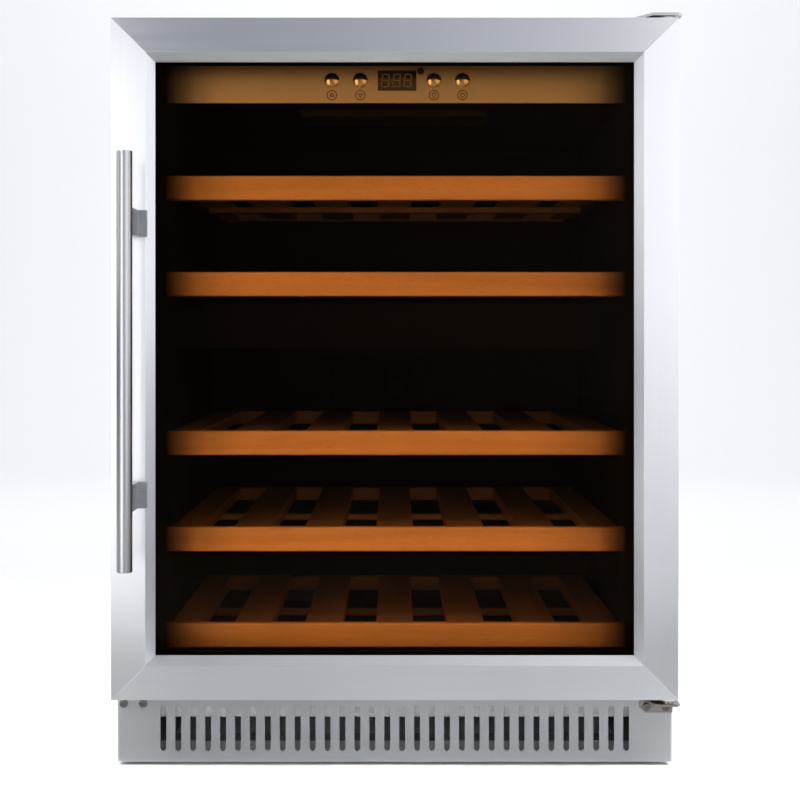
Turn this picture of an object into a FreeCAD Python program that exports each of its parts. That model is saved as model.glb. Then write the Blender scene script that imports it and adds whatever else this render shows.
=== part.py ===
import FreeCAD, Part
import math
import os
import re

import Sketcher

# Wine cooler, free-standing or under a worktop: one glazed door hinged on the right, two cooled zones
# with five sliding beech shelves, and a machine compartment at the lower rear.
#
# Millimetres, +Z up, standing on Z = 0, the door facing -Y and X = 0 in the middle of the cabinet.
# Depths in the formulas below are measured back from the front plane of the door, and depth() turns
# them into Y, so that the origin lies under the middle of the whole object, handle included.

SIZES = {
    # cabinet
    "cabinet_wide": 595, "cabinet_top": 797.5, "cabinet_depth": 570, "face_depth": 43,
    "sheet_thick": 1, "wrap_low": 8, "foam_low": 76, "liner_wall": 2,
    # cold space
    "cold_wide": 514, "cold_floor": 111, "cold_ceiling": 720, "cold_back": 522,
    "hump_depth": 390, "hump_top": 220, "recess_top": 754, "recess_back": 80,
    "divider_low": 446.5, "divider_top": 495.5, "divider_front": 58,
    # machine compartment
    "machine_depth": 428, "machine_top": 183, "tray_top": 16.5,
    # door
    "door_low": 78.6, "door_top": 794.2, "door_thick": 34.5,
    "frame_wide": 45, "bevel_wide": 9, "bevel_deep": 9.5, "skin_thick": 1,
    "pane_depth": 10.5, "pane_thick": 4, "pane_lap": 5, "spacer_thick": 12,
    "gasket_inset": 14.5, "gasket_wide": 17, "clearance": 0.3,
    # handle
    "bar_x": -274.2, "bar_stand": 48, "bar_radius": 8, "bar_low": 220.5, "bar_high": 648.1,
    "post_lower": 294, "post_upper": 578, "post_wide": 12, "post_tall": 28,
    "plate_wide": 30, "plate_thick": 4,
    # hinges
    "pin_x": 289, "pin_depth": 15, "pin_radius": 4, "pin_play": 0.05, "bush_radius": 6,
    "bush_long": 20, "flange_radius": 8, "flange_thick": 3, "pin_long": 20,
    "bottom_leg_top": 72.7, "bracket_thick": 2.7, "top_plate_thick": 3,
    # control strip
    "strip_depth": 55, "strip_thick": 2, "strip_low": 713.4, "strip_top": 753.8,
    "floor_lap": 4, "button_row": 738.2, "button_radius": 7.9, "button_play": 0.2, "button_travel": 1.2,
    "button_rise": 3, "button_dome": 13.5,
    "button_a": -68.3, "button_b": -37.4, "button_c": 42.6, "button_d": 73.6,
    "window_low": 727, "window_top": 749, "window_left": -18.2, "window_right": 23.5,
    "lens_x": 28.2, "lens_row": 748.3, "lens_radius": 3.7, "board_depth": 66,
    # shelves
    "shelf_pitch": 104.9, "upper_shelf_top": 635.2, "lower_shelf_top": 357,
    "front_depth": 60, "front_wide": 505, "front_tall": 26.5, "front_thick": 9,
    "deck_wide": 489, "deck_thick": 14, "deck_end": 485, "short_deck_end": 380,
    "slot_wide": 37, "slot_pitch": 77.6, "slot_count": 6, "rear_rail": 20,
    "under_rail_wide": 464, "cross_rail_thick": 7, "cross_rail_wide": 14,
    "cross_rail_back": 225, "short_cross_rail_back": 150, "rear_rail_tall": 17,
    "runner_wide": 20, "runner_tall": 6, "runner_front": 84,
    # kick plate and base
    "kick_depth": 34, "kick_low": 4.1, "kick_top": 75, "kick_bend": 2.5,
    "vent_pitch": 16, "vent_count": 32, "vent_radius": 3.2, "vent_low": 15.9, "vent_top": 63.6,
    "member_depth": 70, "member_low": 43, "base_top": 75, "post_inner": 260,
    "foot_x": 272, "foot_front": 92, "foot_rear": 545, "foot_radius": 16, "foot_tall": 8,
    "stud_radius": 4, "stud_play": 0.05,
    # fasteners
    "screw_head_radius": 4.6, "screw_head_tall": 2.2, "screw_radius": 2, "screw_long": 9,
    # air and refrigeration
    "cover_wide": 260, "cover_tall": 150, "cover_depth": 492, "fan_radius": 37,
    "fan_opening": 40, "upper_cover_low": 552, "lower_cover_low": 286,
    "lamp_wide": 217, "lamp_front": 139, "lamp_back": 222, "lamp_tall": 8,
    "can_x": 165, "can_depth": 497, "can_radius": 60,
}

doc = FreeCAD.newDocument("wine_cooler")
sheet = doc.addObject("Spreadsheet::Sheet", "Sizes")
for row, (alias, value) in enumerate(SIZES.items(), start=1):
    sheet.set(f"A{row}", alias)
    sheet.set(f"B{row}", str(value))
    sheet.setAlias(f"B{row}", alias)
doc.recompute()

Vector = FreeCAD.Vector
TURNED = {
    "x": FreeCAD.Rotation(Vector(0, 1, 0), 90),
    "y": FreeCAD.Rotation(Vector(1, 0, 0), -90),
    "z": FreeCAD.Rotation(),
}
sub_parts = []


# ---- formulas -------------------------------------------------------------------------------------

def bound(formula):
    """A formula in the sheet's own names, as the document writes it."""
    return re.sub(r"[a-z][a-z_0-9]*", lambda m: "Sizes." + m[0] if m[0] in SIZES else m[0], str(formula))


def number(formula):
    """What a formula comes to, for the first guess of a sketch and for loops in this file."""
    return float(sheet.evalExpression(bound(formula)))


def depth(back):
    """Y of a depth measured back from the door's front plane."""
    return f"({back}) - (cabinet_depth - bar_stand - bar_radius) / 2"


# ---- primitives -----------------------------------------------------------------------------------

def place(item, x, back, z):
    for axis, formula in zip("xyz", (x, depth(back), z)):
        item.setExpression(f"Placement.Base.{axis}", bound(formula))


def box(name, x, back, z):
    """A block from its low and high X, depth and Z."""
    block = doc.addObject("Part::Box", name)
    for side, (low, high) in (("Length", x), ("Width", back), ("Height", z)):
        block.setExpression(side, bound(f"({high}) - ({low})"))
    place(block, x[0], back[0], z[0])
    return block


def rod(name, axis, start, radius, length):
    """A cylinder that runs from start = (x, depth, z) along an axis."""
    item = doc.addObject("Part::Cylinder", name)
    item.Placement = FreeCAD.Placement(Vector(), TURNED[axis])
    item.setExpression("Radius", bound(radius))
    item.setExpression("Height", bound(length))
    place(item, *start)
    return item


def cut(name, base, tool):
    result = doc.addObject("Part::Cut", name)
    result.Base, result.Tool = base, tool
    return result


def common(name, base, tool):
    result = doc.addObject("Part::Common", name)
    result.Base, result.Tool = base, tool
    return result


def fuse(name, shapes):
    result = doc.addObject("Part::MultiFuse", name)
    result.Shapes = shapes
    return result


def group(name, items):
    """Separate solids that share one sub-part."""
    result = doc.addObject("Part::Compound", name)
    result.Links = items
    return result


def keep(item, label):
    """Names a finished sub-part."""
    item.Label = label
    sub_parts.append(item)
    return item


# ---- sketches and features ------------------------------------------------------------------------

def new_body(name):
    return doc.addObject("PartDesign::Body", name)


def rectangle(u0, v0, u1, v1):
    return [(u0, v0), (u1, v0), (u1, v1), (u0, v1)]


def circle(u, v, radius):
    return ("circle", u, v, radius)


def upright_slot(u, low, high, radius):
    """A slot with round ends whose ends reach low and high."""
    return ("slot", u, low, high, radius)


def fixed(sketch, kind, where, formula):
    """A dimension bound to a formula."""
    index = sketch.addConstraint(Sketcher.Constraint(kind, *where, number(formula)))
    sketch.setExpression(f"Constraints[{index}]", bound(formula))


def at_point(sketch, geometry, vertex, u, v):
    fixed(sketch, "DistanceX", (-1, 1, geometry, vertex), u)
    fixed(sketch, "DistanceY", (-1, 1, geometry, vertex), v)


def draw_polygon(sketch, points):
    corners = [Vector(number(u), number(v), 0) for u, v in points]
    first = sketch.GeometryCount
    count = len(corners)
    for i, corner in enumerate(corners):
        sketch.addGeometry(Part.LineSegment(corner, corners[(i + 1) % count]), False)
    for i, (u, v) in enumerate(points):
        sketch.addConstraint(Sketcher.Constraint("Coincident", first + i, 2, first + (i + 1) % count, 1))
        at_point(sketch, first + i, 1, u, v)


def draw_circle(sketch, u, v, radius):
    ring = Part.Circle(Vector(number(u), number(v), 0), Vector(0, 0, 1), number(radius))
    index = sketch.addGeometry(ring, False)
    at_point(sketch, index, 3, u, v)
    fixed(sketch, "Radius", (index,), radius)


def draw_slot(sketch, u, low, high, radius):
    up = Vector(0, 0, 1)
    x, r = number(u), number(radius)
    v0, v1 = number(low) + r, number(high) - r
    top = sketch.addGeometry(Part.ArcOfCircle(Part.Circle(Vector(x, v1, 0), up, r), 0, math.pi), False)
    left = sketch.addGeometry(Part.LineSegment(Vector(x - r, v1, 0), Vector(x - r, v0, 0)), False)
    end = Part.ArcOfCircle(Part.Circle(Vector(x, v0, 0), up, r), math.pi, 2 * math.pi)
    bottom = sketch.addGeometry(end, False)
    right = sketch.addGeometry(Part.LineSegment(Vector(x + r, v0, 0), Vector(x + r, v1, 0)), False)
    for one, other in ((top, left), (left, bottom), (bottom, right), (right, top)):
        sketch.addConstraint(Sketcher.Constraint("Tangent", one, 2, other, 1))
    sketch.addConstraint(Sketcher.Constraint("Equal", top, bottom))
    fixed(sketch, "Radius", (top,), radius)
    at_point(sketch, top, 3, u, f"({high}) - ({radius})")
    at_point(sketch, bottom, 3, u, f"({low}) + ({radius})")


def sketch_on(owner, plane, outline, offset):
    """A sketch of polygons, circles and slots on one of the body's own planes, moved along its normal."""
    sketch = owner.newObject("Sketcher::SketchObject", owner.Name + "_outline")
    flat = next(item for item in owner.Origin.OriginFeatures if item.Role == plane + "_Plane")
    sketch.AttachmentSupport = [(flat, "")]
    sketch.MapMode = "FlatFace"
    sketch.setExpression("AttachmentOffset.Base.z", bound(offset))
    draw = {"circle": draw_circle, "slot": draw_slot}
    for loop in outline:
        if isinstance(loop, tuple):
            draw[loop[0]](sketch, *in_plane(plane, loop[1:3]), *loop[3:])
        else:
            draw_polygon(sketch, [in_plane(plane, point) for point in loop])
    return sketch


def in_plane(plane, point):
    """A point with its depth turned into Y where the plane has one."""
    u, v = point
    if plane == "XY":
        return u, depth(v)
    return (depth(u), v) if plane == "YZ" else (u, v)


def pad_or_pocket(owner, kind, plane, outline, low, high):
    """Adds or removes the outline between two levels on the axis across its plane."""
    upward = (kind == "Pad") != (plane == "XZ")
    start = low if upward else high
    offset = f"-({depth(start)})" if plane == "XZ" else start
    sketch = sketch_on(owner, plane, outline, offset)
    feature = owner.newObject("PartDesign::" + kind, f"{owner.Name}_{kind.lower()}")
    feature.Profile = sketch
    feature.setExpression("Length", bound(f"({high}) - ({low})"))
    sketch.Visibility = False
    return feature


def pad(owner, plane, outline, low, high):
    return pad_or_pocket(owner, "Pad", plane, outline, low, high)


def pocket(owner, plane, outline, low, high):
    doc.recompute()
    before = owner.Shape.Volume
    feature = pad_or_pocket(owner, "Pocket", plane, outline, low, high)
    doc.recompute()
    if not owner.Shape.Volume < before:
        raise RuntimeError(f"{feature.Name} cuts nothing")
    return feature


def repeat(owner, feature, axis, pitch, count):
    """Repeats a feature along its sketch's horizontal (H) or vertical (V) axis."""
    pattern = owner.newObject("PartDesign::LinearPattern", feature.Name + "_row")
    pattern.Originals = [feature]
    pattern.Direction = (feature.Profile[0], [axis + "_Axis"])
    pattern.setExpression("Length", bound(f"({pitch}) * (({count}) - 1)"))
    pattern.setExpression("Occurrences", bound(count))
    owner.Tip = pattern
    return pattern


def round_edges(owner, radius, chosen):
    """Rounds the edges for which chosen(edge) is true."""
    doc.recompute()
    base = owner.Tip
    names = [f"Edge{i}" for i, edge in enumerate(base.Shape.Edges, start=1) if chosen(edge)]
    if not names:
        raise RuntimeError(f"{owner.Name} has no such edge")
    fillet = owner.newObject("PartDesign::Fillet", owner.Name + "_round")
    fillet.Base = (base, names)
    fillet.setExpression("Radius", bound(radius))
    return fillet


def along(edge, axis):
    """True for a straight edge that runs along an axis."""
    if not isinstance(edge.Curve, Part.Line):
        return False
    run = edge.Vertexes[-1].Point - edge.Vertexes[0].Point
    return abs(abs(run[axis]) - run.Length) < 1e-6


def near(value, formula):
    return abs(value - number(formula)) < 1e-4


# ---- cabinet --------------------------------------------------------------------------------------

HALF = "cabinet_wide / 2"
IN_WRAP = "(cabinet_wide / 2 - sheet_thick)"
UNDER_TOP = "(cabinet_top - sheet_thick)"
COLD = "cold_wide / 2"
TOP_SCREWS = ((270, 62), (289, 62), (279.5, 84))
INLET_X = -215


def top_screw_holes(name):
    """The holes that the upper bracket's screws pass through, as one tool."""
    holes = [rod(f"{name}_hole", "z", (x, back, "cabinet_top - 12"), "screw_radius + 0.1", 14)
             for x, back in TOP_SCREWS]
    return group(f"{name}_holes", holes)


def make_wrap():
    """The painted steel wrap: both sides and the top, from one folded sheet."""
    owner = new_body("wrap")
    section = [
        (f"-{HALF}", "wrap_low"), (f"-{HALF}", "cabinet_top"), (HALF, "cabinet_top"), (HALF, "wrap_low"),
        (IN_WRAP, "wrap_low"), (IN_WRAP, UNDER_TOP), (f"-{IN_WRAP}", UNDER_TOP), (f"-{IN_WRAP}", "wrap_low"),
    ]
    pad(owner, "XZ", [section], "face_depth", "cabinet_depth - sheet_thick")
    keep(cut("bored_wrap", owner, top_screw_holes("wrap")), "cabinet_shell")


def make_back():
    """The upper back panel, and the louvred cover of the machine compartment below it."""
    back = ("cabinet_depth - sheet_thick", "cabinet_depth")
    keep(box("back", (f"-{HALF}", HALF), back, ("machine_top", "cabinet_top")), "back_panel")
    owner = new_body("rear_cover")
    outline = [rectangle(f"-{HALF}", "wrap_low", HALF, "machine_top")]
    pad(owner, "XZ", outline, *back)
    for low, high in ((-170, -30), (60, 250)):
        louvre = [rectangle(low, 40, high, 45)]
        feature = pocket(owner, "XZ", louvre, *back)
        repeat(owner, feature, "V", 12, 10)
    pocket(owner, "XZ", [rectangle(INLET_X - 27, 40, INLET_X + 27, 66)], *back)
    keep(owner, "machine_cover")


def make_underbody():
    """The folded sheet under the foam, stepped over the machine compartment."""
    owner = new_body("underbody")
    section = [
        ("face_depth + liner_wall", "foam_low - sheet_thick"),
        ("machine_depth + sheet_thick", "foam_low - sheet_thick"),
        ("machine_depth + sheet_thick", "machine_top - sheet_thick"),
        ("cabinet_depth - sheet_thick", "machine_top - sheet_thick"),
        ("cabinet_depth - sheet_thick", "machine_top"), ("machine_depth", "machine_top"),
        ("machine_depth", "foam_low"), ("face_depth + liner_wall", "foam_low"),
    ]
    pad(owner, "YZ", [section], f"-{IN_WRAP}", IN_WRAP)
    keep(owner, "underbody_panel")


def cold_section(wall, front):
    """The side view of the cold space, moved outwards by a wall thickness."""
    return [
        (front, f"cold_floor - {wall}"), (f"hump_depth + {wall}", f"cold_floor - {wall}"),
        (f"hump_depth + {wall}", f"hump_top - {wall}"), (f"cold_back + {wall}", f"hump_top - {wall}"),
        (f"cold_back + {wall}", f"cold_ceiling + {wall}"),
        (f"recess_back + {wall}", f"cold_ceiling + {wall}"),
        (f"recess_back + {wall}", f"recess_top + {wall}"), (front, f"recess_top + {wall}"),
    ]


def make_liner():
    """The black liner, a vacuum-formed tub with a front flange and a hump over the compressor."""
    owner = new_body("liner")
    flange = [
        rectangle(f"-{IN_WRAP}", "foam_low", IN_WRAP, UNDER_TOP),
        rectangle(f"-{COLD}", "cold_floor", COLD, "recess_top"),
    ]
    pad(owner, "XZ", flange, "face_depth", "face_depth + liner_wall")
    outside = f"({COLD} + liner_wall)"
    pad(owner, "YZ", [cold_section("liner_wall", "face_depth")], f"-{outside}", outside)
    pocket(owner, "YZ", [cold_section("0", "face_depth - 1")], f"-{COLD}", COLD)
    keep(owner, "inner_liner")


def make_foam():
    """The polyurethane foam between the wrap and the liner."""
    owner = new_body("foam")
    front = "face_depth + liner_wall"
    section = [
        (front, "foam_low"), ("machine_depth", "foam_low"), ("machine_depth", "machine_top"),
        ("cabinet_depth - sheet_thick", "machine_top"), ("cabinet_depth - sheet_thick", UNDER_TOP),
        (front, UNDER_TOP),
    ]
    pad(owner, "YZ", [section], f"-{IN_WRAP}", IN_WRAP)
    outside = f"({COLD} + liner_wall)"
    pocket(owner, "YZ", [cold_section("liner_wall", "face_depth + liner_wall")], f"-{outside}", outside)
    keep(cut("bored_foam", owner, top_screw_holes("foam")), "insulation")


def make_divider():
    """The insulated shelf between the two zones."""
    span = ("divider_front", "cold_back")
    keep(box("divider", (f"-{COLD}", COLD), span, ("divider_low", "divider_top")), "zone_divider")


# ---- air and light in the two zones ---------------------------------------------------------------

ZONES = {"upper": ("upper_cover_low", "cold_ceiling"), "lower": ("lower_cover_low", "divider_low")}


def make_lamp_cover(zone, ceiling):
    """The lamp's diffuser under a zone's ceiling, with soft lower edges."""
    owner = new_body(zone + "_lamp")
    outline = [rectangle("-lamp_wide / 2", "lamp_front", "lamp_wide / 2", "lamp_back")]
    pad(owner, "XY", outline, f"{ceiling} - lamp_tall", ceiling)
    low = f"{ceiling} - lamp_tall"
    round_edges(owner, 3, lambda edge: near(edge.BoundBox.ZMax, low) or along(edge, 2))
    keep(owner, zone + "_lamp_cover")


def make_fan_cover(zone, low):
    """The pan over a zone's evaporator, with the fan's opening, inlet slots, struts and motor."""
    owner = new_body(zone + "_cover")
    wall, span = 2, ("cover_depth", "cold_back")
    centre = f"({low} + cover_tall - 50)"
    outline = [rectangle("-cover_wide / 2", low, "cover_wide / 2", f"{low} + cover_tall")]
    pad(owner, "XZ", outline, *span)
    sides = (f"-cover_wide / 2 + {wall}", f"cover_wide / 2 - {wall}")
    inside = rectangle(sides[0], f"{low} + {wall}", sides[1], f"{low} + cover_tall - {wall}")
    pocket(owner, "XZ", [inside], f"cover_depth + {wall}", "cold_back")
    face = ("cover_depth", f"cover_depth + {wall}")
    pocket(owner, "XZ", [circle(0, centre, "fan_opening")], *face)
    for side in (-1, 1):
        slot = [upright_slot(f"{side} * 60", f"{low} + 60", f"{low} + 130", 2.5)]
        feature = pocket(owner, "XZ", slot, *face)
        pattern = repeat(owner, feature, "H", 10, 6)
        pattern.Reversed = side < 0
    strut = rectangle(sides[0], f"{centre} - 3", sides[1], f"{centre} + 3")
    pad(owner, "XZ", [strut], "cover_depth + 22", "cover_depth + 25")
    pad(owner, "XZ", [circle(0, centre, 14)], "cover_depth + 17", "cover_depth + 28")
    pad(owner, "XZ", [circle(0, centre, 1.5)], "cover_depth + 5", "cover_depth + 17")
    keep(owner, zone + "_evaporator_cover")


def make_fan(label, axis, centre, radius, hub_long, blade_count=7):
    """A hub with pitched blades, bored for its motor's shaft; centre is (x, depth, z) of its front."""
    hub = rod(label + "_hub", axis, centre, 12, hub_long)
    pieces = [hub]
    x, back, z = centre
    for i in range(blade_count):
        blade = doc.addObject("Part::Box", f"{label}_blade")
        blade.setExpression("Length", bound(f"({radius}) - 9"))
        blade.setExpression("Width", bound(1.2))
        blade.setExpression("Height", bound(14))
        pitched = FreeCAD.Placement(Vector(9, -0.6, -7), FreeCAD.Rotation())
        tilt = FreeCAD.Placement(Vector(), FreeCAD.Rotation(Vector(1, 0, 0), 62))
        turn = FreeCAD.Placement(Vector(), FreeCAD.Rotation(Vector(0, 0, 1), 360 * i / blade_count))
        middle = Vector(number(x), number(depth(back)), number(z))
        middle += TURNED[axis].multVec(Vector(0, 0, number(hub_long) / 2))
        blade.Placement = FreeCAD.Placement(middle, TURNED[axis]) * turn * tilt * pitched
        pieces.append(blade)
    bore = rod(label + "_bore", axis, centre, "1.5 + pin_play", hub_long)
    keep(cut(label + "_wheel", fuse(label + "_solid", pieces), bore), label)


def make_evaporators():
    """One finned block behind each zone's cover."""
    blocks = []
    for zone, (low, _) in ZONES.items():
        owner = new_body(zone + "_evaporator")
        fins = rectangle(-110, f"{low} + 8", 110, f"{low} + 46")
        pad(owner, "XZ", [fins], "cold_back - 24", "cold_back - 2")
        gap = [rectangle(-106, f"{low} + 8", -102, f"{low} + 40")]
        feature = pocket(owner, "XZ", gap, "cold_back - 24", "cold_back - 6")
        repeat(owner, feature, "H", 8, 27)
        blocks.append(owner)
    keep(group("evaporator_pair", blocks), "evaporators")


# ---- control strip --------------------------------------------------------------------------------

BUTTONS = {
    "temperature_up_button": "button_a", "temperature_down_button": "button_b",
    "light_button": "button_c", "power_button": "button_d",
}


def make_control_panel():
    """The metal strip that holds the buttons, with a floor behind it that closes the recess."""
    owner = new_body("strip")
    side = f"({COLD} - 0.2)"
    back = "strip_depth + strip_thick"
    pad(owner, "XZ", [rectangle(f"-{side}", "strip_low", side, "strip_top")], "strip_depth", back)
    floor = rectangle(f"-{side}", back, side, "recess_back + floor_lap")
    floor_top = "cold_ceiling - clearance"
    pad(owner, "XY", [floor], f"{floor_top} - strip_thick", floor_top)
    holes = [circle(x, "button_row", "button_radius + button_play") for x in BUTTONS.values()]
    holes.append(circle("lens_x", "lens_row", "lens_radius + button_play"))
    holes.append(rectangle("window_left", "window_low", "window_right", "window_top"))
    pocket(owner, "XZ", holes, "strip_depth", back)
    keep(owner, "control_panel")


def make_display_window():
    """The smoked window in front of the display."""
    x = ("window_left + 0.1", "window_right - 0.1")
    z = ("window_low + 0.1", "window_top - 0.1")
    keep(box("window", x, ("strip_depth - 0.3", "strip_depth + 2.2"), z), "display_window")


def make_control_board():
    """The circuit board with its display block, four tact switches and the lens of its status lamp."""
    pieces = [box("board", (-95, 95), ("board_depth", "board_depth + 1.6"), (720, 752.5))]
    block_x = ("window_left + 2", "window_right - 2")
    block_z = ("window_low + 2", "window_top - 2")
    pieces.append(box("display_block", block_x, ("strip_depth + 2.2", "board_depth"), block_z))
    for i, x in enumerate(BUTTONS.values()):
        span, height = ("board_depth - 3.5", "board_depth"), ("button_row - 3", "button_row + 3")
        pieces.append(box(f"switch_{i}", (f"{x} - 3", f"{x} + 3"), span, height))
        pieces.append(rod(f"plunger_{i}", "y", (x, "board_depth - 5", "button_row"), 1.7, 1.5))
    lens = ("lens_x", "strip_depth - 1", "lens_row")
    pieces.append(rod("lens", "y", lens, "lens_radius", "board_depth - strip_depth + 1"))
    keep(fuse("board_assembly", pieces), "control_board")


def make_button(label, x):
    """A domed metal cap with a flange behind the strip and a stem over its switch."""
    owner = new_body(label + "_cap")
    flange = "strip_depth + strip_thick + 0.1"
    front = "strip_depth - button_rise"
    pad(owner, "XZ", [circle(x, "button_row", "button_radius")], front, flange)
    pad(owner, "XZ", [circle(x, "button_row", "button_radius + 1.2")], flange, f"{flange} + 1")
    stem_end = "board_depth - 5 - button_travel - 0.1"
    pad(owner, "XZ", [circle(x, "button_row", 3)], f"{flange} + 1", stem_end)
    ball = doc.addObject("Part::Sphere", label + "_ball")
    ball.setExpression("Radius", bound("button_dome"))
    place(ball, x, f"{front} + button_dome", "button_row")
    keep(common(label + "_dome", owner, ball), label)


# ---- shelves --------------------------------------------------------------------------------------

SHELVES = [
    # name, top of its boards, rear end of its deck, depth of its cross rail
    ("shelf_1", "upper_shelf_top", "deck_end", "cross_rail_back"),
    ("shelf_2", "upper_shelf_top - shelf_pitch", "deck_end", "cross_rail_back"),
    ("shelf_3", "lower_shelf_top", "deck_end", "cross_rail_back"),
    ("shelf_4", "lower_shelf_top - shelf_pitch", "deck_end", "cross_rail_back"),
    ("shelf_5", "lower_shelf_top - 2 * shelf_pitch", "short_deck_end", "short_cross_rail_back"),
]


def make_shelf(name, top, end, cross_back):
    """A beech front board and, behind it, a deck of slats on a cross rail and a rear rail."""
    front = new_body(name + "_board")
    outline = [rectangle("-front_wide / 2", f"{top} - front_tall", "front_wide / 2", top)]
    pad(front, "XZ", outline, "front_depth", "front_depth + front_thick")
    face = depth("front_depth")
    round_edges(front, 2, lambda edge: near(edge.BoundBox.YMax, face))
    keep(front, name + "_front")

    deck = new_body(name + "_slats")
    start, under = "front_depth + front_thick", f"{top} - deck_thick"
    pad(deck, "XY", [rectangle("-deck_wide / 2", start, "deck_wide / 2", end)], under, top)
    first = "-slot_pitch * (slot_count - 1) / 2"
    gap = rectangle(f"{first} - slot_wide / 2", start, f"{first} + slot_wide / 2", f"{end} - rear_rail")
    feature = pocket(deck, "XY", [gap], under, top)
    repeat(deck, feature, "H", "slot_pitch", "slot_count")
    half = "under_rail_wide / 2"
    cross = f"front_depth + {cross_back}"
    rail = rectangle(f"-{half}", cross, half, f"{cross} + cross_rail_wide")
    pad(deck, "XY", [rail], f"{under} - cross_rail_thick", under)
    rail = rectangle(f"-{half}", f"{end} - rear_rail", half, end)
    pad(deck, "XY", [rail], f"{top} - rear_rail_tall", under)
    keep(deck, name + "_deck")


def make_runners():
    """A ledge on each side wall for every shelf, just below its deck."""
    ledges = []
    for name, top, end, _ in SHELVES:
        z = (f"{top} - deck_thick - clearance - runner_tall", f"{top} - deck_thick - clearance")
        for side, start in (("left", f"-{COLD}"), ("right", f"{COLD} - runner_wide")):
            x = (start, f"{start} + runner_wide")
            ledges.append(box(f"{name}_{side}_ledge", x, ("runner_front", end), z))
    keep(group("runner_set", ledges), "shelf_runners")


# ---- kick plate and base --------------------------------------------------------------------------

BLANK_X = ("-269.6", "-290.5")
BRACKET_X = ("269.6", "290.5")
BLANK_ROW, BRACKET_ROW = 66.6, 63.5


def front_holes(radius):
    holes = [circle(x, BLANK_ROW, radius) for x in BLANK_X]
    return holes + [circle(x, BRACKET_ROW, radius) for x in BRACKET_X]


def make_kick_plate():
    """The steel kick plate: a row of round-ended vents and folded ends."""
    owner = new_body("kick")
    inner, returned = f"({HALF} - sheet_thick)", "face_depth - 0.2"
    section = [
        (f"-{HALF}", "kick_depth"), (HALF, "kick_depth"), (HALF, returned), (inner, returned),
        (inner, "kick_depth + sheet_thick"), (f"-{inner}", "kick_depth + sheet_thick"),
        (f"-{inner}", returned), (f"-{HALF}", returned),
    ]
    pad(owner, "XY", [section], "kick_low", "kick_top")
    face, inside = depth("kick_depth"), depth("kick_depth + sheet_thick")
    round_edges(owner, "kick_bend", lambda edge: along(edge, 2) and near(edge.BoundBox.YMax, face))
    bend = "kick_bend - sheet_thick"
    round_edges(owner, bend, lambda edge: along(edge, 2) and near(edge.BoundBox.YMax, inside))
    through = ("kick_depth - 1", "kick_depth + sheet_thick + 1")
    pocket(owner, "XZ", front_holes("screw_radius + 0.2"), *through)
    first = "-vent_pitch * (vent_count - 1) / 2"
    vent = pocket(owner, "XZ", [upright_slot(first, "vent_low", "vent_top", "vent_radius")], *through)
    repeat(owner, vent, "H", "vent_pitch", "vent_count")
    keep(owner, "kick_plate")


def make_base():
    """The grey base frame: corner posts, cross members, side rails and the rear tray."""
    owner = new_body("base")
    front = "kick_depth + sheet_thick"
    lip = "6.5"
    posts = [rectangle(f"{a}", "tray_top", f"{b}", "base_top")
             for a, b in ((f"-{IN_WRAP}", "-post_inner"), ("post_inner", IN_WRAP))]
    rear = "cabinet_depth - sheet_thick"
    plate = ("tray_top - 3", "tray_top")
    deck = [
        rectangle(f"-{IN_WRAP}", front, IN_WRAP, rear),
        rectangle("-post_inner + 15", "member_depth + 30", "post_inner - 15", "machine_depth"),
    ]
    pad(owner, "XY", deck, *plate)
    pocket(owner, "XY", [rectangle("-post_inner", "kick_depth", "post_inner", "member_depth")], *plate)
    lip_strip = rectangle(f"-{IN_WRAP}", lip, IN_WRAP, "tray_top - 3")
    pad(owner, "XZ", [lip_strip], "member_depth", "member_depth + 2")
    pad(owner, "XZ", posts, front, "member_depth + 2")
    member = rectangle("-post_inner", "member_low", "post_inner", "base_top")
    pad(owner, "XZ", [member], "member_depth", "member_depth + 2")
    webs = [rectangle(a, "tray_top", b, "base_top")
            for a, b in ((f"-{IN_WRAP}", f"-{IN_WRAP} + 2"), (f"{IN_WRAP} - 2", IN_WRAP))]
    pad(owner, "XZ", webs, "member_depth + 2", rear)
    pocket(owner, "XZ", front_holes("screw_radius + 0.1"), front, f"{front} + 12")
    studs = [circle(x, y, "stud_radius + stud_play")
             for x in ("-foot_x", "foot_x") for y in ("foot_front", "foot_rear")]
    pocket(owner, "XY", studs, *plate)
    face = depth(front)

    def outer_corner(edge):
        box = edge.BoundBox
        return along(edge, 2) and near(box.YMax, face) and near(abs(box.XMax), IN_WRAP)

    round_edges(owner, "kick_bend - sheet_thick", outer_corner)
    keep(owner, "base_frame")


def make_foot(label, x, back):
    """A levelling foot, screwed in: its pad and its stud."""
    owner = new_body(label + "_pad")
    pad(owner, "XY", [circle(x, back, "foot_radius")], 0, "foot_tall")
    round_edges(owner, 1.5, lambda edge: near(edge.BoundBox.ZMax, "foot_tall"))
    pad(owner, "XY", [circle(x, back, "stud_radius")], "foot_tall", 40)
    keep(owner, label)


# ---- hinges and fasteners -------------------------------------------------------------------------

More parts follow.
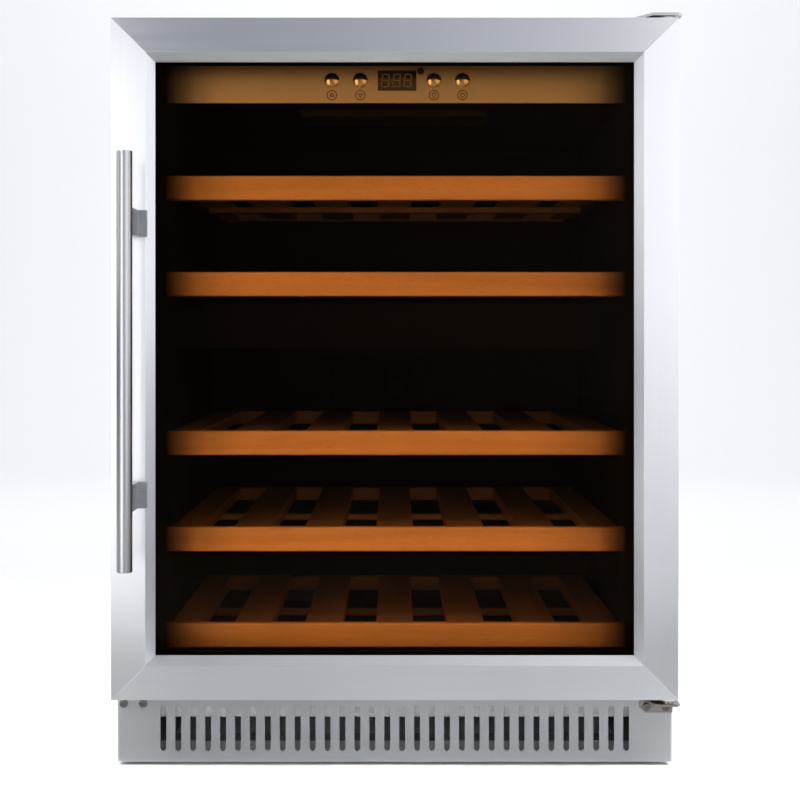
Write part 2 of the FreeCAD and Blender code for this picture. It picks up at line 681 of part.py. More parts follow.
def make_bottom_bracket():
    """The L-shaped lower bracket, screwed over the kick plate, with its shouldered pin."""
    owner = new_body("lower_bracket")
    flange_front = "kick_depth - bracket_thick"
    flange = [(268, 57.5), (297.3, 57.5), (297.3, "bottom_leg_top"), (261.7, "bottom_leg_top"), (261.7, 63)]
    pad(owner, "XZ", [flange], flange_front, "kick_depth")
    leg = [
        (266, 30), (274, 9), (279, 5), (298, 5), (301, 9), (301, 31.5),
        (297.3, "kick_depth"), (266, "kick_depth"),
    ]
    pad(owner, "XY", [leg], "bottom_leg_top - bracket_thick", "bottom_leg_top")
    shoulder = "door_low - flange_thick - clearance"
    pad(owner, "XY", [circle("pin_x", "pin_depth", "bush_radius")], "bottom_leg_top", shoulder)
    pad(owner, "XY", [circle("pin_x", "pin_depth", "pin_radius")], shoulder, "door_low + pin_long - 2")
    screws = [circle(x, BRACKET_ROW, "screw_radius + 0.2") for x in BRACKET_X]
    pocket(owner, "XZ", screws, flange_front, "kick_depth")
    keep(owner, "bottom_hinge_bracket")


def make_top_bracket():
    """The flat upper bracket on the cabinet's top, with its pin reaching down into the door."""
    owner = new_body("upper_bracket")
    plate = [(257, 26), (272, 4), (299, 4), (303, 8), (303, 40), (296, 50), (296, 95), (257, 95)]
    pad(owner, "XY", [plate], "cabinet_top", "cabinet_top + top_plate_thick")
    pad(owner, "XY", [circle("pin_x", "pin_depth", "pin_radius")], "door_top - pin_long + 2", "cabinet_top")
    screws = [circle(x, y, "screw_radius + 0.2") for x, y in TOP_SCREWS]
    pocket(owner, "XY", screws, "cabinet_top", "cabinet_top + top_plate_thick")
    keep(owner, "top_hinge_bracket")


def screw_shape():
    """A pan-head screw with a cross recess: head up from Z = 0, shank down."""
    radius, tall, long = number("screw_head_radius"), number("screw_head_tall"), number("screw_long")
    head = Part.makeCylinder(radius, tall)
    head = head.makeFillet(tall * 0.6, [edge for edge in head.Edges if abs(edge.BoundBox.ZMin - tall) < 1e-6])
    shank = Part.makeCylinder(number("screw_radius"), long, Vector(0, 0, -long))
    screw = head.fuse(shank)
    for x, y in ((4.6, 1), (1, 4.6)):
        screw = screw.cut(Part.makeBox(x, y, 1.2, Vector(-x / 2, -y / 2, tall - 1.2)))
    return screw.removeSplitter()


def make_screws():
    """The pan-head screws of both brackets and the two that fill the spare holes on the left."""
    screw = screw_shape()
    forward = FreeCAD.Rotation(Vector(1, 0, 0), 90)
    spots = [(x, "kick_depth", BLANK_ROW, forward) for x in BLANK_X]
    spots += [(x, "kick_depth - bracket_thick", BRACKET_ROW, forward) for x in BRACKET_X]
    top = "cabinet_top + top_plate_thick"
    spots += [(x, back, top, FreeCAD.Rotation()) for x, back in TOP_SCREWS]
    placed = []
    for x, back, z, turn in spots:
        where = Vector(number(x), number(depth(back)), number(z))
        copy = screw.copy()
        copy.Placement = FreeCAD.Placement(where, turn)
        placed.append(copy)
    item = doc.addObject("Part::Feature", "screw_set")
    item.Shape = Part.makeCompound(placed)
    keep(item, "bracket_screws")


# ---- door -----------------------------------------------------------------------------------------

def frame_profile():
    """The frame's section as (inwards from the edge, depth): outer wall, face, bevel towards the glass."""
    face_end = "(frame_wide - bevel_wide)"
    return [
        ("0", "0"), ("0", "door_thick"), ("skin_thick", "door_thick"), ("skin_thick", "skin_thick"),
        (f"{face_end} - 0.4 * skin_thick", "skin_thick"), ("frame_wide - 1.4 * skin_thick", "pane_depth"),
        ("frame_wide", "pane_depth"), ("frame_wide", "bevel_deep"), (face_end, "0"),
    ]


def bush_hole(name, low, high):
    return rod(name, "z", ("pin_x", "pin_depth", low), "bush_radius", f"({high}) - ({low})")


def make_frame_member(label, side, vertical):
    """One stile or rail: its section drawn out along the door's edge, then mitred at both ends."""
    section = new_body(label + "_section")
    member = new_body(label + "_mitre")
    whole = ("0", "door_thick")
    if vertical:
        outline = [(f"{side} * ({HALF} - ({inwards}))", back) for inwards, back in frame_profile()]
        pad(section, "XY", [outline], "door_low", "door_top")
        edge, inner = f"{side} * {HALF}", f"{side} * ({HALF} - frame_wide)"
        mitre = [(edge, "door_low"), (edge, "door_top"), (inner, "door_top - frame_wide"),
                 (inner, "door_low + frame_wide")]
    else:
        edge = "door_top" if side > 0 else "door_low"
        outline = [(back, f"{edge} - {side} * ({inwards})") for inwards, back in frame_profile()]
        pad(section, "YZ", [outline], f"-{HALF}", HALF)
        inner = f"{edge} - {side} * frame_wide"
        mitre = [(f"-{HALF}", edge), (HALF, edge), (f"{HALF} - frame_wide", inner),
                 (f"-{HALF} + frame_wide", inner)]
    pad(member, "XZ", [mitre], *whole)
    mitred = common(label + "_mitred", section, member)
    if vertical:
        keep(mitred, label)
        return
    ends = ("door_top - 3", "door_top + 1") if side > 0 else ("door_low - 1", "door_low + 3")
    keep(cut(label + "_bored", mitred, bush_hole(label + "_hole", *ends)), label)


def ring(inset_outer, inset_inner):
    """A frame-shaped outline between two distances in from the door's edge."""
    def inside(inset):
        return rectangle(
            f"-{HALF} + {inset}", f"door_low + {inset}", f"{HALF} - ({inset})", f"door_top - ({inset})"
        )
    return [inside(inset_outer), inside(inset_inner)]


def make_door_core():
    """The black plastic frame inside the steel skins, which holds the glass unit."""
    owner = new_body("core")
    glass = "(frame_wide - pane_lap)"
    unit_back = "pane_depth + 2 * pane_thick + spacer_thick"
    pad(owner, "XZ", ring("skin_thick", "frame_wide - bevel_wide - 1"), "skin_thick", "pane_depth")
    pad(owner, "XZ", ring("skin_thick", glass), "pane_depth", unit_back)
    pad(owner, "XZ", ring("skin_thick", "frame_wide - 1"), unit_back, "door_thick")
    for low, high in (("door_low", "door_low + bush_long"), ("door_top - bush_long", "door_top")):
        pocket(owner, "XY", [circle("pin_x", "pin_depth", "bush_radius")], low, high)
    keep(owner, "door_core")


def make_glass():
    """The tinted outer pane, the inner pane and the black spacer that seals them into one unit."""
    inset = "(frame_wide - pane_lap)"
    x = (f"-{HALF} + {inset}", f"{HALF} - {inset}")
    z = (f"door_low + {inset}", f"door_top - {inset}")
    spacer = "pane_depth + pane_thick"
    inner = f"{spacer} + spacer_thick"
    keep(box("front_pane", x, ("pane_depth", spacer), z), "outer_glass")
    keep(box("rear_pane", x, (inner, f"{inner} + pane_thick"), z), "inner_glass")
    owner = new_body("spacer")
    pad(owner, "XZ", ring(inset, "frame_wide + 0.5"), spacer, inner)
    keep(owner, "glass_spacer")


def make_gasket():
    """The magnetic gasket round the back of the door: its rooted strip and its narrower lip."""
    owner = new_body("gasket")
    lip = "door_thick + 3.5"
    pad(owner, "XZ", ring("gasket_inset", "gasket_inset + gasket_wide"), "door_thick", lip)
    narrow = ring("gasket_inset + 2", "gasket_inset + gasket_wide - 3")
    pad(owner, "XZ", narrow, lip, "face_depth - clearance")
    keep(owner, "door_gasket")


def make_handle():
    """A round bar in front of the left stile, on two posts with base plates."""
    bar = new_body("bar")
    pad(bar, "XY", [circle("bar_x", "-bar_stand", "bar_radius")], "bar_low", "bar_high")
    round_edges(bar, 0.8, lambda edge: isinstance(edge.Curve, Part.Circle))
    keep(bar, "handle_bar")
    posts = []
    for name in ("post_lower", "post_upper"):
        post = new_body("handle_" + name)
        low, high = f"{name} - post_tall / 2", f"{name} + post_tall / 2"
        plate = rectangle("bar_x - plate_wide / 2", low, "bar_x + plate_wide / 2", high)
        pad(post, "XZ", [plate], "-plate_thick", 0)
        arm = rectangle("bar_x - post_wide / 2", low, "bar_x + post_wide / 2", high)
        pad(post, "XZ", [arm], "-bar_stand + 4", "-plate_thick")
        pocket(post, "XY", [circle("bar_x", "-bar_stand", "bar_radius")], low, high)
        posts.append(post)
    keep(group("post_pair", posts), "handle_posts")


def make_bushes():
    """The flanged nylon bushes that turn on the two hinge pins."""
    bushes = []
    for name, flange, barrel in (
        ("lower", "door_low - flange_thick", "door_low"),
        ("upper", "door_top", "door_top - bush_long"),
    ):
        owner = new_body(name + "_bush")
        pad(owner, "XY", [circle("pin_x", "pin_depth", "flange_radius")], flange, f"{flange} + flange_thick")
        pad(owner, "XY", [circle("pin_x", "pin_depth", "bush_radius")], barrel, f"{barrel} + bush_long")
        low = "door_low - flange_thick" if name == "lower" else "door_top - bush_long"
        bore = [circle("pin_x", "pin_depth", "pin_radius + pin_play")]
        pocket(owner, "XY", bore, low, f"{low} + bush_long + flange_thick")
        bushes.append(owner)
    keep(group("bush_pair", bushes), "hinge_bushes")


# ---- machine compartment --------------------------------------------------------------------------

MOUNT_TALL = 12


def make_compressor():
    """The hermetic compressor: a domed can with its weld ring, terminal box, tube stubs and foot plate."""
    owner = new_body("can")
    centre = ("can_x", "can_depth")
    plate_low = f"tray_top + {MOUNT_TALL}"
    can_low = f"{plate_low} + 3"
    pad(owner, "XY", [circle(*centre, "can_radius")], can_low, f"{can_low} + 118")
    round_edges(owner, 26, lambda edge: isinstance(edge.Curve, Part.Circle))
    pad(owner, "XY", [circle(*centre, "can_radius + 2.5")], f"{can_low} + 62", f"{can_low} + 66")
    foot = rectangle("can_x - 85", "can_depth - 55", "can_x + 85", "can_depth + 55")
    pad(owner, "XY", [foot], plate_low, can_low)
    pad(owner, "XY", [circle(*centre, 40)], can_low, f"{can_low} + 8")
    terminal = rectangle("can_x - 80", "can_depth - 22", "can_x - 50", "can_depth + 22")
    pad(owner, "XY", [terminal], f"{can_low} + 30", f"{can_low} + 80")
    for dx, dy in ((20, -52), (38, -42), (50, 25)):
        stub = [circle(f"can_x + {dx}", f"can_depth + {dy}", 3)]
        pad(owner, "XY", stub, f"{can_low} + 50", f"{can_low} + 96")
    keep(owner, "compressor")


def make_mounts():
    """Four rubber grommets between the compressor's foot plate and the tray."""
    grommets = []
    for x in (-72, 72):
        for y in (-44, 44):
            start = (f"can_x + {x}", f"can_depth + {y}", "tray_top")
            grommets.append(rod("grommet", "z", start, 9, MOUNT_TALL))
    keep(group("grommet_set", grommets), "compressor_mounts")


SHROUD_X = -10
FAN_ROW, FAN_DEPTH, COIL_TALL = 95, 499, 140


def make_condenser():
    """The finned condenser block beside its fan."""
    owner = new_body("coil")
    span = (SHROUD_X - 60, SHROUD_X)
    low = "tray_top + 2"
    pad(owner, "YZ", [rectangle(434, low, 564, f"{low} + {COIL_TALL}")], *span)
    gap = [rectangle(438, f"{low} + 4", 442, f"{low} + {COIL_TALL - 4}")]
    feature = pocket(owner, "YZ", gap, span[0], span[1] - 12)
    repeat(owner, feature, "H", 8, 16)
    keep(owner, "condenser")


def make_condenser_shroud():
    """The shroud that carries the condenser fan's motor on its struts."""
    owner = new_body("shroud")
    low = "tray_top"
    edge = (SHROUD_X, SHROUD_X + 3)
    plate = [rectangle(434, low, 564, f"{low} + {COIL_TALL + 2}"), circle(FAN_DEPTH, FAN_ROW, 52)]
    pad(owner, "YZ", plate, *edge)
    rim = [circle(FAN_DEPTH, FAN_ROW, 56), circle(FAN_DEPTH, FAN_ROW, 52)]
    pad(owner, "YZ", rim, SHROUD_X + 3, SHROUD_X + 34)
    strut = [rectangle(FAN_DEPTH - 54, FAN_ROW - 4, FAN_DEPTH + 54, FAN_ROW + 4)]
    pad(owner, "YZ", strut, SHROUD_X + 30, SHROUD_X + 34)
    pad(owner, "YZ", [circle(FAN_DEPTH, FAN_ROW, 20)], SHROUD_X + 24, SHROUD_X + 40)
    pad(owner, "YZ", [circle(FAN_DEPTH, FAN_ROW, 1.5)], SHROUD_X + 6, SHROUD_X + 24)
    keep(owner, "condenser_shroud")


def make_drip_tray():
    """The tray above the compressor where the defrost water evaporates."""
    owner = new_body("tray")
    low, high = "machine_top - sheet_thick - 16", "machine_top - sheet_thick - 1"
    outer = rectangle("can_x - 70", "machine_depth + 8", "can_x + 70", "cabinet_depth - 8")
    pad(owner, "XY", [outer], low, high)
    inner = rectangle("can_x - 68", "machine_depth + 10", "can_x + 68", "cabinet_depth - 10")
    pocket(owner, "XY", [inner], f"{low} + 2", high)
    round_edges(owner, 4, lambda edge: along(edge, 2) and edge.BoundBox.ZLength > 14)
    keep(owner, "drip_tray")


def make_inlet():
    """The recessed mains inlet in the machine cover, with its three contacts."""
    owner = new_body("inlet")
    back = "cabinet_depth"
    pad(owner, "XZ", [rectangle(INLET_X - 27, 40, INLET_X + 27, 66)], f"{back} - 24", back)
    pocket(owner, "XZ", [rectangle(INLET_X - 22, 44, INLET_X + 22, 62)], f"{back} - 19", back)
    pins = [rectangle(INLET_X + x, 49, INLET_X + x + 2, 56) for x in (-12, -1, 10)]
    pad(owner, "XZ", pins, f"{back} - 19", f"{back} - 4")
    keep(owner, "mains_inlet")


# ---- the whole cooler -----------------------------------------------------------------------------

def build():
    make_wrap()
    make_back()
    make_underbody()
    make_foam()
    make_liner()
    make_divider()
    make_runners()
    for zone, (low, ceiling) in ZONES.items():
        make_lamp_cover(zone, ceiling)
        make_fan_cover(zone, low)
        hub = ("0", "cover_depth + 3", f"{low} + cover_tall - 50")
        make_fan(zone + "_fan", "y", hub, "fan_radius", 12)
    make_evaporators()
    make_control_panel()
    make_display_window()
    make_control_board()
    for label, x in BUTTONS.items():
        make_button(label, x)
    for shelf in SHELVES:
        make_shelf(*shelf)
    make_kick_plate()
    make_base()
    for side, x in (("left", "-foot_x"), ("right", "foot_x")):
        make_foot("front_foot_" + side, x, "foot_front")
        make_foot("rear_foot_" + side, x, "foot_rear")
    make_bottom_bracket()
    make_top_bracket()
    make_screws()
    make_frame_member("door_stile_left", -1, True)
    make_frame_member("door_stile_right", 1, True)
    make_frame_member("door_rail_bottom", -1, False)
    make_frame_member("door_rail_top", 1, False)
    make_door_core()
    make_glass()
    make_gasket()
    make_handle()
    make_bushes()
    make_compressor()
    make_mounts()
    make_condenser()
    make_condenser_shroud()
    make_fan("condenser_fan", "x", (f"{SHROUD_X + 7}", FAN_DEPTH, FAN_ROW), 48, 15)
    make_drip_tray()
    make_inlet()


def check_document():
    """Stops on any object that failed, and on any sub-part without a valid solid."""
    doc.recompute()
    for item in doc.Objects:
        if {"Invalid", "Error"} & set(item.State):
            raise RuntimeError(f"{item.Name} failed: {item.State}")
    for item in sub_parts:
        shape = item.Shape
        if shape.isNull() or not shape.isValid() or not shape.Solids:
            raise RuntimeError(f"{item.Label} has no valid solid")


def export():
    os.makedirs("parts", exist_ok=True)
    for item in sub_parts:
        item.Shape.exportStep(f"parts/{item.Label}.step")
    print(len(sub_parts), "sub-parts written")


build()
check_document()
export()
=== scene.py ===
import math

import bmesh
import bpy
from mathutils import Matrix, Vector


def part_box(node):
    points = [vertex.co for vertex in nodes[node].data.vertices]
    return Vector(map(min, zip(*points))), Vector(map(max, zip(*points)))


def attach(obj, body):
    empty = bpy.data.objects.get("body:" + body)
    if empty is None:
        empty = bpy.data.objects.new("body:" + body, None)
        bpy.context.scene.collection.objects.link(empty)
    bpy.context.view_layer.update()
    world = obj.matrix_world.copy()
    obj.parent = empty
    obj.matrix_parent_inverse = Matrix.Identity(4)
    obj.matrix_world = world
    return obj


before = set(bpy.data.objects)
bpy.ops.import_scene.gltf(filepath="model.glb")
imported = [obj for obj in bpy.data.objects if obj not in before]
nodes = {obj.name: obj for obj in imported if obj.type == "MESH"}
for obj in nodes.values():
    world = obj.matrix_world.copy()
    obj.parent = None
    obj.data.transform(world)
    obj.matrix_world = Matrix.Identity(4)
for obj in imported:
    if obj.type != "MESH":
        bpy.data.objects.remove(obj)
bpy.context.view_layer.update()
MM = 0.001

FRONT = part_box("door_stile_left")[0].y
scene = bpy.context.scene


# ---- patterns and shaders -------------------------------------------------------------------------

# Sockets of the Mix node, which has several of the same name.
MIX_FACTOR, MIX_COLOUR_A, MIX_COLOUR_B, MIX_COLOUR_RESULT = 0, 6, 7, 2


class Finish:
    """A Principled material whose patterns are drawn in the object's own space, in metres."""

    def __init__(self, name, colour, roughness, metallic=0.0, **constants):
        self.material = bpy.data.materials.new(name)
        self.material.use_nodes = True
        self.tree = self.material.node_tree
        self.shader = self.tree.nodes["Principled BSDF"]
        self.shader.inputs["Base Color"].default_value = (*colour, 1)
        self.shader.inputs["Roughness"].default_value = roughness
        self.shader.inputs["Metallic"].default_value = metallic
        for socket, value in constants.items():
            self.shader.inputs[socket.replace("_", " ")].default_value = value
        self.place = self.add("ShaderNodeTexCoord").outputs["Object"]

    def add(self, kind, **settings):
        node = self.tree.nodes.new(kind)
        for key, value in settings.items():
            setattr(node, key, value)
        return node

    def link(self, source, target):
        self.tree.links.new(source, target)

    def stretched(self, scale, offset=(0, 0, 0)):
        mapping = self.add("ShaderNodeMapping")
        mapping.inputs["Scale"].default_value = scale
        mapping.inputs["Location"].default_value = offset
        self.link(self.place, mapping.inputs["Vector"])
        return mapping.outputs[0]

    def noise(self, scale, detail=2.0, offset=(0, 0, 0), distortion=0.0):
        """Noise with its own number of features per metre along each axis."""
        node = self.add("ShaderNodeTexNoise")
        node.inputs["Scale"].default_value = 1.0
        node.inputs["Detail"].default_value = detail
        node.inputs["Distortion"].default_value = distortion
        self.link(self.stretched(scale, offset), node.inputs["Vector"])
        return node.outputs["Fac"]

    def cells(self, scale):
        """Random colours in cells, so many per metre along each axis."""
        node = self.add("ShaderNodeTexVoronoi")
        node.inputs["Scale"].default_value = 1.0
        self.link(self.stretched(scale), node.inputs["Vector"])
        return node.outputs["Color"]

    def ramp(self, value, stops):
        """Colours between which a value is blended: (place, colour) pairs."""
        node = self.add("ShaderNodeValToRGB")
        elements = node.color_ramp.elements
        while len(elements) < len(stops):
            elements.new(0.5)
        for element, (place, colour) in zip(elements, stops):
            element.position = place
            element.color = (*colour, 1)
        self.link(value, node.inputs["Fac"])
        return node.outputs["Color"]

    def spread(self, value, low, high, start=0.3, end=0.7):
        """Maps a value between start and end to one between low and high."""
        node = self.add("ShaderNodeMapRange")
        for socket, number in zip(("From Min", "From Max", "To Min", "To Max"), (start, end, low, high)):
            node.inputs[socket].default_value = number
        self.link(value, node.inputs["Value"])
        return node.outputs["Result"]

    def multiply(self, one, other):
        """One colour times another."""
        node = self.add("ShaderNodeMix", data_type="RGBA", blend_type="MULTIPLY")
        node.inputs[MIX_FACTOR].default_value = 1.0
        self.link(one, node.inputs[MIX_COLOUR_A])
        self.link(other, node.inputs[MIX_COLOUR_B])
        return node.outputs[MIX_COLOUR_RESULT]

    def colour(self, socket):
        self.link(socket, self.shader.inputs["Base Color"])

    def roughness(self, socket):
        self.link(socket, self.shader.inputs["Roughness"])

    def bump(self, height, strength, distance):
        node = self.add("ShaderNodeBump")
        node.inputs["Strength"].default_value = strength
        node.inputs["Distance"].default_value = distance
        self.link(height, node.inputs["Height"])
        self.link(node.outputs[0], self.shader.inputs["Normal"])

    def stretch_highlights(self, direction):
        """Draws highlights out along a direction given in the object's own space."""
        turned = self.add("ShaderNodeVectorTransform", vector_type="VECTOR",
                          convert_from="OBJECT", convert_to="WORLD")
        self.link(direction, turned.inputs[0])
        self.link(turned.outputs[0], self.shader.inputs["Tangent"])


def lit(colour, share):
    """A colour made darker or lighter."""
    return tuple(channel * share for channel in colour)


AXES = {"x": 0, "y": 1, "z": 2}


def per_axis(axis, along, across):
    """Features per metre along one axis and across it."""
    return tuple(along if i == AXES[axis] else across for i in range(3))


# Features per metre along and across the grain.
BRUSH_LINES, BRUSH_BANDS = (6, 2600), (1.5, 30)
WOOD_BANDS, WOOD_PORES, WOOD_FLECKS = (2.2, 46), (60, 1500), (130, 900)
# Radians of a sine wave per metre of radius.
LATHE_RINGS = 2600


def brushed_steel(name, grain, across, colour, roughness=0.33, anisotropy=0.8, streak=0.04, metallic=1.0):
    """Brushed stainless steel: fine lines along its grain, and highlights drawn out across it."""
    steel = Finish(name, colour, roughness, metallic, Anisotropic=anisotropy)
    lines = steel.noise(per_axis(grain, *BRUSH_LINES), 3)
    broad = steel.noise(per_axis(grain, *BRUSH_BANDS), 2, (3, 1, 2))
    fine = steel.ramp(lines, [(0.3, lit(colour, 1 - streak)), (0.7, lit(colour, 1 + streak * 0.4))])
    wide = steel.ramp(broad, [(0.3, (0.985, 0.985, 0.985)), (0.7, (1, 1, 1))])
    steel.colour(steel.multiply(fine, wide))
    steel.roughness(steel.spread(lines, roughness * (1 - 4 * streak), roughness * (1 + 4 * streak)))
    steel.bump(lines, 0.75 * streak, 0.0001)
    direction = steel.add("ShaderNodeCombineXYZ")
    direction.inputs[AXES[across]].default_value = 1.0
    steel.stretch_highlights(direction.outputs[0])
    return steel.material


def beech(name, grain, colour=(0.62, 0.37, 0.175)):
    """Lacquered beech: pale brown with soft bands, fine pores and short dark flecks along the grain."""
    wood = Finish(name, colour, 0.42, Coat_Weight=0.25, Coat_Roughness=0.25)
    bands = wood.noise(per_axis(grain, *WOOD_BANDS), 3, (1, 4, 2), 0.6)
    pores = wood.noise(per_axis(grain, *WOOD_PORES), 2)
    flecks = wood.noise(per_axis(grain, *WOOD_FLECKS), 1, (7, 3, 5))
    base = wood.ramp(bands, [(0.25, lit(colour, 0.8)), (0.5, colour), (0.75, lit(colour, 1.14))])
    grainy = wood.ramp(pores, [(0.35, (0.9, 0.88, 0.86)), (0.65, (1, 1, 1))])
    dashes = wood.ramp(flecks, [(0.66, (1, 1, 1)), (0.74, (0.74, 0.66, 0.58))])
    wood.colour(wood.multiply(wood.multiply(base, grainy), dashes))
    wood.roughness(wood.spread(pores, 0.34, 0.5))
    wood.bump(pores, 0.12, 0.0003)
    return wood.material


def moulded(name, colour, roughness=0.45, grain=900, depth=0.15, **constants):
    """Moulded plastic with a fine leathery grain and slight unevenness."""
    plastic = Finish(name, colour, roughness, **constants)
    texture = plastic.noise((grain,) * 3, 3)
    tone = plastic.noise((9, 9, 9), 2)
    plastic.colour(plastic.ramp(tone, [(0.3, lit(colour, 0.88)), (0.7, lit(colour, 1.1))]))
    plastic.roughness(plastic.spread(texture, roughness * 0.85, roughness * 1.15))
    plastic.bump(texture, depth, 0.0003)
    return plastic.material


def painted(name, colour, roughness=0.35):
    """Powder-coated sheet steel with orange peel."""
    paint = Finish(name, colour, roughness, Coat_Weight=0.3, Coat_Roughness=0.3)
    peel = paint.noise((420, 420, 420), 2)
    tone = paint.noise((4, 4, 4), 3)
    paint.colour(paint.ramp(tone, [(0.3, lit(colour, 0.92)), (0.7, lit(colour, 1.06))]))
    paint.roughness(paint.spread(peel, roughness * 0.9, roughness * 1.12))
    paint.bump(peel, 0.12, 0.0004)
    return paint.material


def zinc(name, colour=(0.56, 0.58, 0.6)):
    """Galvanised steel with its spangle."""
    metal = Finish(name, colour, 0.4, 0.85)
    spangle = metal.cells((95, 95, 95))
    cloudy = metal.noise((30, 30, 30), 3)
    grey = metal.add("ShaderNodeRGBToBW")
    metal.link(spangle, grey.inputs[0])
    metal.colour(metal.ramp(grey.outputs[0], [(0.2, lit(colour, 0.95)), (0.8, lit(colour, 1.04))]))
    metal.roughness(metal.spread(cloudy, 0.4, 0.48))
    return metal.material


def frame_paint(name):
    """Light grey paint on the base frame, with painted shade darkening it towards the floor; a fine dust
    noise varies its roughness and bump.
    """
    paint = Finish(name, (0.8, 0.8, 0.81), 0.45)
    split = paint.add("ShaderNodeSeparateXYZ")
    paint.link(paint.place, split.inputs[0])
    # Painted shade: below 42 mm the paint darkens, down to dark grey at 20 mm and lower.
    shade_full_below, shade_none_above = 20 * MM, 42 * MM
    height = paint.spread(split.outputs["Z"], 0, 1, shade_full_below, shade_none_above)
    paint.colour(paint.ramp(height, [(0, (0.2, 0.2, 0.21)), (1, (0.93, 0.93, 0.94))]))
    dust = paint.noise((160, 160, 160), 3)
    paint.roughness(paint.spread(dust, 0.4, 0.6))
    paint.bump(dust, 0.08, 0.0003)
    return paint.material


def circuit_board(name, lens_back):
    """Green solder mask with copper tracks; the lamp's lens, in front of a depth in Y, is nearly black."""
    board = Finish(name, (0.01, 0.09, 0.035), 0.35)
    split = board.add("ShaderNodeSeparateXYZ")
    board.link(board.place, split.inputs[0])
    behind = board.spread(split.outputs["Y"], 0, 1, lens_back, lens_back + MM)
    base = board.ramp(behind, [(0, (0.004, 0.003, 0.003)), (1, (0.012, 0.1, 0.04))])
    tracks = board.noise((300, 300, 900), 1)
    copper = board.ramp(tracks, [(0.45, (0.7, 0.7, 0.7)), (0.55, (1, 1, 1))])
    board.colour(board.multiply(base, copper))
    board.roughness(board.spread(tracks, 0.28, 0.4))
    return board.material


def rubber(name):
    """Matt black rubber with a dusty bloom."""
    colour = (0.016, 0.016, 0.016)
    soft = Finish(name, colour, 0.7, Sheen_Weight=0.15, Sheen_Roughness=0.5)
    dust = soft.noise((240, 240, 240), 4)
    soft.colour(soft.ramp(dust, [(0.35, lit(colour, 0.8)), (0.75, lit(colour, 1.6))]))
    soft.roughness(soft.spread(dust, 0.6, 0.8))
    soft.bump(dust, 0.1, 0.0002)
    return soft.material


def foam(name):
    """Cut polyurethane foam with open cells."""
    cell = Finish(name, (0.75, 0.62, 0.33), 0.9, Subsurface_Weight=0.1)
    pits = cell.noise((700, 700, 700), 3)
    cell.colour(cell.ramp(pits, [(0.3, (0.55, 0.42, 0.2)), (0.7, (0.8, 0.68, 0.4))]))
    cell.bump(pits, 0.5, 0.0008)
    return cell.material


def pane(name, tint, index):
    """Flat glass: it tints what is seen through it and mirrors a little, more at a slant."""
    material = bpy.data.materials.new(name)
    material.use_nodes = True
    tree = material.node_tree
    tree.nodes.remove(tree.nodes["Principled BSDF"])
    clear = tree.nodes.new("ShaderNodeBsdfTransparent")
    clear.inputs["Color"].default_value = (*tint, 1)
    gloss = tree.nodes.new("ShaderNodeBsdfGlossy")
    gloss.inputs["Roughness"].default_value = 0.015
    gloss.inputs["Color"].default_value = (1, 1, 1, 1)
    slant = tree.nodes.new("ShaderNodeFresnel")
    slant.inputs["IOR"].default_value = index
    mix = tree.nodes.new("ShaderNodeMixShader")
    tree.links.new(slant.outputs[0], mix.inputs[0])
    tree.links.new(clear.outputs[0], mix.inputs[1])
    tree.links.new(gloss.outputs[0], mix.inputs[2])
    tree.links.new(mix.outputs[0], tree.nodes["Material Output"].inputs["Surface"])
    return material


def lathe_turned(name, colour, centre):
    """Metal turned on a lathe: fine rings round its middle, and highlights drawn out from it."""
    roughness = 0.2
    metal = Finish(name, colour, roughness, 1.0, Anisotropic=0.5)
    offset = metal.add("ShaderNodeVectorMath", operation="SUBTRACT")
    offset.inputs[1].default_value = centre
    metal.link(metal.place, offset.inputs[0])
    flat = metal.add("ShaderNodeVectorMath", operation="MULTIPLY")
    flat.inputs[1].default_value = (1, 0, 1)
    metal.link(offset.outputs[0], flat.inputs[0])
    radius = metal.add("ShaderNodeVectorMath", operation="LENGTH")
    metal.link(flat.outputs[0], radius.inputs[0])
    rings = metal.add("ShaderNodeMath", operation="MULTIPLY")
    rings.inputs[1].default_value = LATHE_RINGS
    metal.link(radius.outputs["Value"], rings.inputs[0])
    wave = metal.add("ShaderNodeMath", operation="SINE")
    metal.link(rings.outputs[0], wave.inputs[0])
    tone = metal.ramp(metal.spread(wave.outputs[0], 0, 1, -1, 1), [(0, lit(colour, 0.85)), (1, colour)])
    metal.colour(tone)
    metal.roughness(metal.spread(wave.outputs[0], roughness * 0.8, roughness * 1.2, -1, 1))
    metal.stretch_highlights(flat.outputs[0])
    return metal.material


# ---- materials of the CAD nodes -------------------------------------------------------------------

def paint_node(name, material):
    node = nodes[name]
    node.data.materials.clear()
    node.data.materials.append(material)


STEEL = (0.66, 0.67, 0.69)
upright = brushed_steel("steel_upright", "z", "x", STEEL)
# Painted shade: the top and bottom rails use a copy of the door steel made 10% darker.
level = brushed_steel("steel_level_painted_shade", "x", "z", lit(STEEL, 0.9))
# Painted shade: the kick plate, set back under the door, uses a copy of the door steel made much darker.
kick_steel_painted_shade = brushed_steel("steel_kick_painted_shade", "x", "z", lit(STEEL, 0.64), 0.34)
# Painted shade: the handle bar uses a copy of the door steel made much darker.
bar_steel_painted_shade = brushed_steel("steel_bar_painted_shade", "z", "x", lit(STEEL, 0.56), 0.28, 0.65, 0.01)
